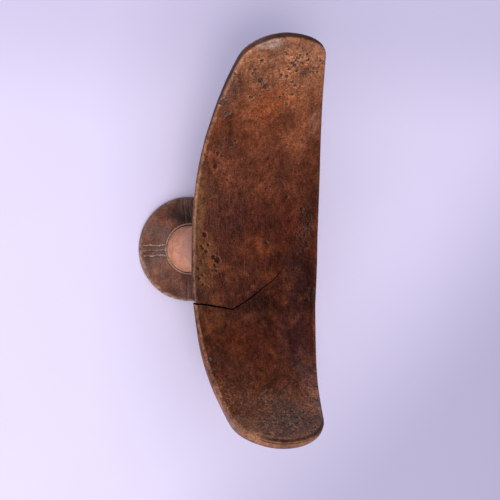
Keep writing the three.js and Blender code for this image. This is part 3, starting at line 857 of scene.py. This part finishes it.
def crackBlade(name, line):
    # a thin slanting blade that follows the crack; taking it away from the wood leaves the split
    random = np.random.default_rng(crack["seed"])
    line = np.array(line, float)
    run = np.concatenate([[0], np.cumsum(np.hypot(*np.diff(line[:, :2], axis=0).T))])
    steps = np.unique(np.concatenate([run, np.arange(0, run[-1], crack["step"])]))
    x, y, width, depth = [np.interp(steps, run, line[:, k]) for k in range(4)]
    ahead = np.stack([np.gradient(x), np.gradient(y)], 1)
    ahead /= np.linalg.norm(ahead, axis=1)[:, None]
    side = np.stack([-ahead[:, 1], ahead[:, 0]], 1)
    middle = np.stack([x, y], 1) + side * (random.random((len(x), 1)) - 0.5) * crack["jitter"]
    half = side * (width / 2 * (0.85 + 0.3 * random.random(len(x))))[:, None]
    surface = topPoint(x, y)[2]
    upShift = np.column_stack([np.full(len(x), -crack["above"] * crack["lean"]), np.zeros(len(x))])
    downShift = np.column_stack([depth * crack["lean"], np.zeros(len(x))])
    deepHalf = half * crack["narrowing"]
    rings = [np.column_stack([middle + half + upShift, surface + crack["above"]]),
             np.column_stack([middle + deepHalf + downShift, surface - depth]),
             np.column_stack([middle - deepHalf + downShift, surface - depth]),
             np.column_stack([middle - half + upShift, surface + crack["above"]])]
    points = np.stack(rings, 1).reshape(-1, 3)
    last = 4 * (len(x) - 1)
    faces = [(0, 1, 2, 3), (last + 3, last + 2, last + 1, last)]
    for i in range(len(x) - 1):
        faces += quadStrip(4 * i + 4 + np.arange(4), 4 * i + np.arange(4))
    return newPiece(name, points * mm, faces, torn)


for part in ("main", "spur", "hair"):
    cutOrJoin(pillowPiece, crackBlade(part + "Blade", crack[part]), "DIFFERENCE")
print("crack opened:", len(pillowPiece.data.polygons), "faces")


def neckTree():
    # presses the knife's long shallow flats into the turned neck, dying out at both ends
    tree, g = newTree("knifeFlats", {
        "Depth": 0.0002, "Flat Scale": 125.0, "Low End": 0.0105, "High End": 0.112, "Fade": 0.005,
        "Finish": rubbed})
    position = addNode(tree, where)
    height = addNode(tree, split, position).outputs["Z"]
    lowFade = addNode(tree, calc, g["Low End"], g["Fade"], operation="ADD")
    highFade = addNode(tree, calc, g["High End"], g["Fade"], operation="SUBTRACT")
    live = overlap(tree, addNode(tree, remap, height, g["Low End"], lowFade),
                   addNode(tree, remap, height, g["High End"], highFade))
    long = addNode(tree, vector, position, (1.0, 1.0, 0.25), operation="MULTIPLY")
    cuts = addNode(tree, "ShaderNodeTexVoronoi", long, feature="SMOOTH_F1", Scale=g["Flat Scale"], Smoothness=0.35)
    return pushedOut(tree, g, bothWays(tree, cuts.outputs["Distance"], 0.45, g["Depth"], live))


def neckProfile():
    line = neck["foot"] + roundedLine(neck["side"], neck["stepsBetween"])
    return [(r, h, neck["offCentre"] * (1 - smooth(h, neck["foot"][0][1], neck["straightBy"]))) for r, h in line]


stemPiece = turnedPiece("stemWood", neckProfile(), neck["segments"], rubbed)
applyTree(stemPiece, neckTree(), {
    "Depth": neck["flats"] * 2 * mm, "Flat Scale": 1 / (neck["flatSpan"] * mm),
    "Low End": neck["foot"][0][1] * mm, "High End": neck["side"][-1][1] * mm, "Fade": neck["fade"] * mm,
    "Finish": rubbed})
print("neck turned:", len(stemPiece.data.polygons), "faces")


disc = {
    "edge": [(30.6, 0.0), (31.4, 0.5), (31.9, 1.2), (32.5, 3.6), (32.2, 5.2), (31.2, 6.3), (29.8, 6.8)],
    "topInner": (16.4, 10.25),
    "ring": [(16.1, 9.95), (15.85, 9.8), (15.6, 9.75), (15.3, 9.85), (14.8, 10.45)],
    "ringAside": discLook["ringAside"],
    "underRadii": (4.0, 12.0, 20.0, 27.0), "innerRadii": (12.0, 6.0, 2.0),      # mm, rows of the flat parts
    "edgeSteps": 7,                 # rows from one point of the edge to the next
    "segments": 560,
    "rowSpacing": 0.36,             # mm, fine enough for the cuts
    "markFrom": 17.4, "markTo": 30.4, "markSpacing": 3.2, "markHalfWidth": 0.85, "markDepth": 0.6,
    "markTwist": 2.3,               # degrees, the mark groups stand a little turned from the pillow
    "topAbove": 5.0,                # mm, cuts are only made above this height
    "wobble": 0.6, "wobbleSpan": 5.0,           # mm, how far a cut strays and from one stray to the next
    "wearSpan": 9.0,                # mm, from one worn stretch of a cut to the next
    "unevenness": 0.5, "unevenSpan": 11.0,      # mm, the rim's and the top's slow rise and fall
    "seat": (16.2, 18.0),           # mm from the axis, still at the first and free from the second
    "freeFrom": (0.2, 1.2),         # mm up, the same for the flat underside
}


def discProfile():
    under = [(r, 0.0) for r in disc["underRadii"]]
    edge = roundedLine(disc["edge"], disc["edgeSteps"])
    (r0, h0), (r1, h1) = disc["edge"][-1], disc["topInner"]
    rows = int((r0 - r1) / disc["rowSpacing"])
    top = [(r0 + (r1 - r0) * k / rows, h0 + (h1 - h0) * k / rows) for k in range(1, rows + 1)]
    inner = [(r, disc["ring"][-1][1]) for r in disc["innerRadii"]]
    # the ring groove follows the neck, a little off the disc's own centre
    follows = lambda r, h: (1 - smooth(r, disc["topInner"][0], disc["edge"][-1][0])) * (h > disc["topAbove"])
    return [(r, h, disc["ringAside"] * follows(r, h)) for r, h in under + edge + top + disc["ring"] + inner]


def markTree():
    # lays out four groups of three straight cuts and presses them into the disc's top
    tree, g = newTree("cutMarks", {
        "From": 0.0174, "To": 0.0304, "Spacing": 0.0032, "Half Width": 0.0008, "Depth": 0.0007, "Top Above": 0.005,
        "Wobble": 0.0004, "Wobble Scale": 200.0, "Wear Scale": 110.0, "Unevenness": 0.0005, "Uneven Scale": 90.0,
        "Seat": 0.0162, "Clear": 0.018, "Still Below": 0.0002, "Free Above": 0.0012, "Twist": 0.04,
        "Finish": dull})
    length = addNode(tree, calc, g["To"], g["From"], operation="SUBTRACT")
    cut = addNode(tree, "GeometryNodeMeshLine", Count=2, Start_Location=addNode(tree, join, g["From"]),
                  Offset=addNode(tree, join, length))
    aside = addNode(tree, calc, g["Spacing"], -1.0, operation="MULTIPLY")
    places = addNode(tree, "GeometryNodeMeshLine", Count=3, Start_Location=addNode(tree, join, None, aside),
                     Offset=addNode(tree, join, None, g["Spacing"]))
    group = addNode(tree, "GeometryNodeInstanceOnPoints", places, Instance=cut)
    group = addNode(tree, "GeometryNodeRealizeInstances", group)
    hub = addNode(tree, "GeometryNodeMeshLine", Count=4, Offset=(0.0, 0.0, 0.0))
    quarter = addNode(tree, calc, addNode(tree, "GeometryNodeInputIndex"), math.pi / 2, g["Twist"],
                      operation="MULTIPLY_ADD")
    turn = addNode(tree, "FunctionNodeEulerToRotation", addNode(tree, join, None, None, quarter))
    groups = addNode(tree, "GeometryNodeInstanceOnPoints", hub, Instance=group, Rotation=turn)
    lines = addNode(tree, "GeometryNodeRealizeInstances", groups)

    # how deep each spot is pressed: the cuts wobble, and they are worn shallow in places
    position = addNode(tree, where)
    x, y, z = addNode(tree, split, position).outputs
    reach = addNode(tree, calc, g["Wobble"], 4.0, operation="MULTIPLY")
    stray = strayed(tree, position, addNode(tree, noise, Scale=g["Wobble Scale"], Detail=1.5), reach)
    level = addNode(tree, vector, stray, (1.0, 1.0, 0.0), operation="MULTIPLY")
    near = addNode(tree, "GeometryNodeProximity", lines, target_element="EDGES", Sample_Position=level)
    share = addNode(tree, calc, near.outputs["Distance"], g["Half Width"], operation="DIVIDE")
    wear = addNode(tree, remap, addNode(tree, noise, Scale=g["Wear Scale"], Detail=1.0), 0.35, 0.6, 0.35, 1.0)
    press = overlap(tree, addNode(tree, remap, share, 1.0, 0.1, interpolation_type="SMOOTHSTEP"),
                    addNode(tree, calc, z, g["Top Above"], operation="GREATER_THAN"), wear)
    lip = overlap(tree, addNode(tree, remap, share, 1.9, 0.9, interpolation_type="SMOOTHSTEP"), wear)

    # the flat underside and the seat of the neck stay still
    radius = addNode(tree, vector, addNode(tree, join, x, y), operation="LENGTH").outputs["Value"]
    live = overlap(tree, addNode(tree, remap, z, g["Still Below"], g["Free Above"]),
                   addNode(tree, remap, radius, g["Seat"], g["Clear"]))
    slow = addNode(tree, noise, Scale=g["Uneven Scale"], Detail=2.0)
    shift = addNode(tree, calc, bothWays(tree, slow, 0.5, g["Unevenness"], live),
                    overlap(tree, press, g["Depth"]), operation="SUBTRACT")
    return pushedOut(tree, g, shift, hole=press, lip=lip)


basePiece = turnedPiece("discWoodPiece", discProfile(), disc["segments"], dull)
applyTree(basePiece, markTree(), {
    "From": disc["markFrom"] * mm, "To": disc["markTo"] * mm, "Spacing": disc["markSpacing"] * mm,
    "Half Width": disc["markHalfWidth"] * mm, "Depth": disc["markDepth"] * mm, "Top Above": disc["topAbove"] * mm,
    "Wobble": disc["wobble"] * mm, "Wobble Scale": 1 / (disc["wobbleSpan"] * mm),
    "Wear Scale": 1 / (disc["wearSpan"] * mm), "Unevenness": disc["unevenness"] * mm,
    "Uneven Scale": 1 / (disc["unevenSpan"] * mm), "Seat": disc["seat"][0] * mm, "Clear": disc["seat"][1] * mm,
    "Still Below": disc["freeFrom"][0] * mm, "Free Above": disc["freeFrom"][1] * mm,
    "Twist": math.radians(disc["markTwist"]), "Finish": dull})
print("disc cut:", len(basePiece.data.polygons), "faces")

sharpAngle = math.radians(50)
for piece, node, slot in ((pillowPiece, "pillow", "patinated_wood"), (stemPiece, "stem", "rubbed_wood"),
                          (basePiece, "base", "disc_wood")):
    piece.data.polygons.foreach_set("use_smooth", [True] * len(piece.data.polygons))
    piece.data.set_sharp_from_angle(angle=sharpAngle)
    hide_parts(node)
    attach(piece, "root")


studio = {
    "cameraPlace": (-0.00065, 0.2883, 0.930),
    "tilt": 19.54,                  # degrees from straight down, towards the cracked edge's side
    "lens": 111.5,
    "sensor": 36.0,
    "floorSide": 8.0,               # m
    # the paper's colours, and where its painted shade lies
    "floorShade": "#d6d2f0", "floorPale": "#dcd7f2", "floorPaintedShade": "#b4b1cf",
    "floorCloud": 60.0, "paintedShadeBehind": (70, 150), "paintedShadeCorner": (120, 300),      # mm
    "aim": (0, 0, 0.08),            # m, what the lamps look at
    # name: place and width in m, watts, shade, whether it shows as a reflection
    "lamps": {
        "overhead": ((-0.20, 0.42, 1.50), 0.3, 8.0, "#fff0e2", True),
        "window": ((-1.00, 0.50, 0.90), 1.2, 9.0, "#fffcfa", False),
        "bounce": ((0.00, 0.42, 1.50), 1.6, 18.0, "#f8f6ff", False),
        "hall": ((1.10, 0.35, 1.00), 0.9, 3.0, "#f4f4ff", False),
    },
    "roomShade": "#d9d6ee", "roomStrength": 0.07,
}


def floorFinish():
    # matt seamless paper: pale lilac, with a hardly visible tooth
    finish, tree, surface, spot = newFinish("seamlessPaper")
    cloud = addNode(tree, noise, spot, Scale=1 / (studio["floorCloud"] * mm), Detail=3.0)
    # painted shade: the paper is darker behind the long end and in one corner, standing in for the lamps' fall-off
    x, y = addNode(tree, split, spot).outputs[:2]
    behind = addNode(tree, remap, x, *metres(*studio["paintedShadeBehind"]), interpolation_type="SMOOTHSTEP")
    corner = addNode(tree, calc, addNode(tree, calc, x, y, operation="ADD"), -1.0, operation="MULTIPLY")
    corner = addNode(tree, remap, corner, *metres(*studio["paintedShadeCorner"]), interpolation_type="SMOOTHSTEP")
    colour = washed(tree, studio["floorShade"],
                    (addNode(tree, remap, cloud, 0.3, 0.7, 0.0, 0.3), studio["floorPale"]),
                    (overlap(tree, behind, 0.45), studio["floorPaintedShade"]), (corner, studio["floorPaintedShade"]))
    tree.links.new(colour, surface.inputs["Base Color"])
    surface.inputs["Roughness"].default_value = 0.95
    surface.inputs["Specular IOR Level"].default_value = 0.1
    return finish


half = studio["floorSide"] / 2
floorSheet = newPiece("floorSheet", [(-half, -half, 0), (half, -half, 0), (half, half, 0), (-half, half, 0)],
                      [(0, 1, 2, 3)], floorFinish())

for name, (spot, width, watts, shade, shines) in studio["lamps"].items():
    lamp = bpy.data.lights.new(name, "AREA")
    lamp.shape = "DISK"
    lamp.size = width
    lamp.energy = watts
    lamp.color = linear(shade)[:3]
    stand = bpy.data.objects.new(name, lamp)
    stand.location = spot
    stand.rotation_euler = (Vector(studio["aim"]) - Vector(spot)).to_track_quat("-Z", "Y").to_euler()
    stand.visible_glossy = shines
    bpy.context.scene.collection.objects.link(stand)

room = bpy.data.worlds.new("room")
room.use_nodes = True
backdrop = room.node_tree.nodes["Background"]
backdrop.inputs["Color"].default_value = linear(studio["roomShade"])
backdrop.inputs["Strength"].default_value = studio["roomStrength"]
bpy.context.scene.world = room

tilt = math.radians(studio["tilt"])
camera = bpy.data.objects.new("camera", bpy.data.cameras.new("camera"))
camera.data.lens = studio["lens"]
camera.data.sensor_width = studio["sensor"]
# the longer wing points up in the frame
right, up, back = (0, -math.cos(tilt), math.sin(tilt)), (1, 0, 0), (0, math.sin(tilt), math.cos(tilt))
camera.matrix_world = Matrix.Translation(studio["cameraPlace"]) @ Matrix((right, up, back)).transposed().to_4x4()
bpy.context.scene.collection.objects.link(camera)
bpy.context.scene.camera = camera
bpy.context.scene.view_settings.view_transform = "Standard"
print("studio set")
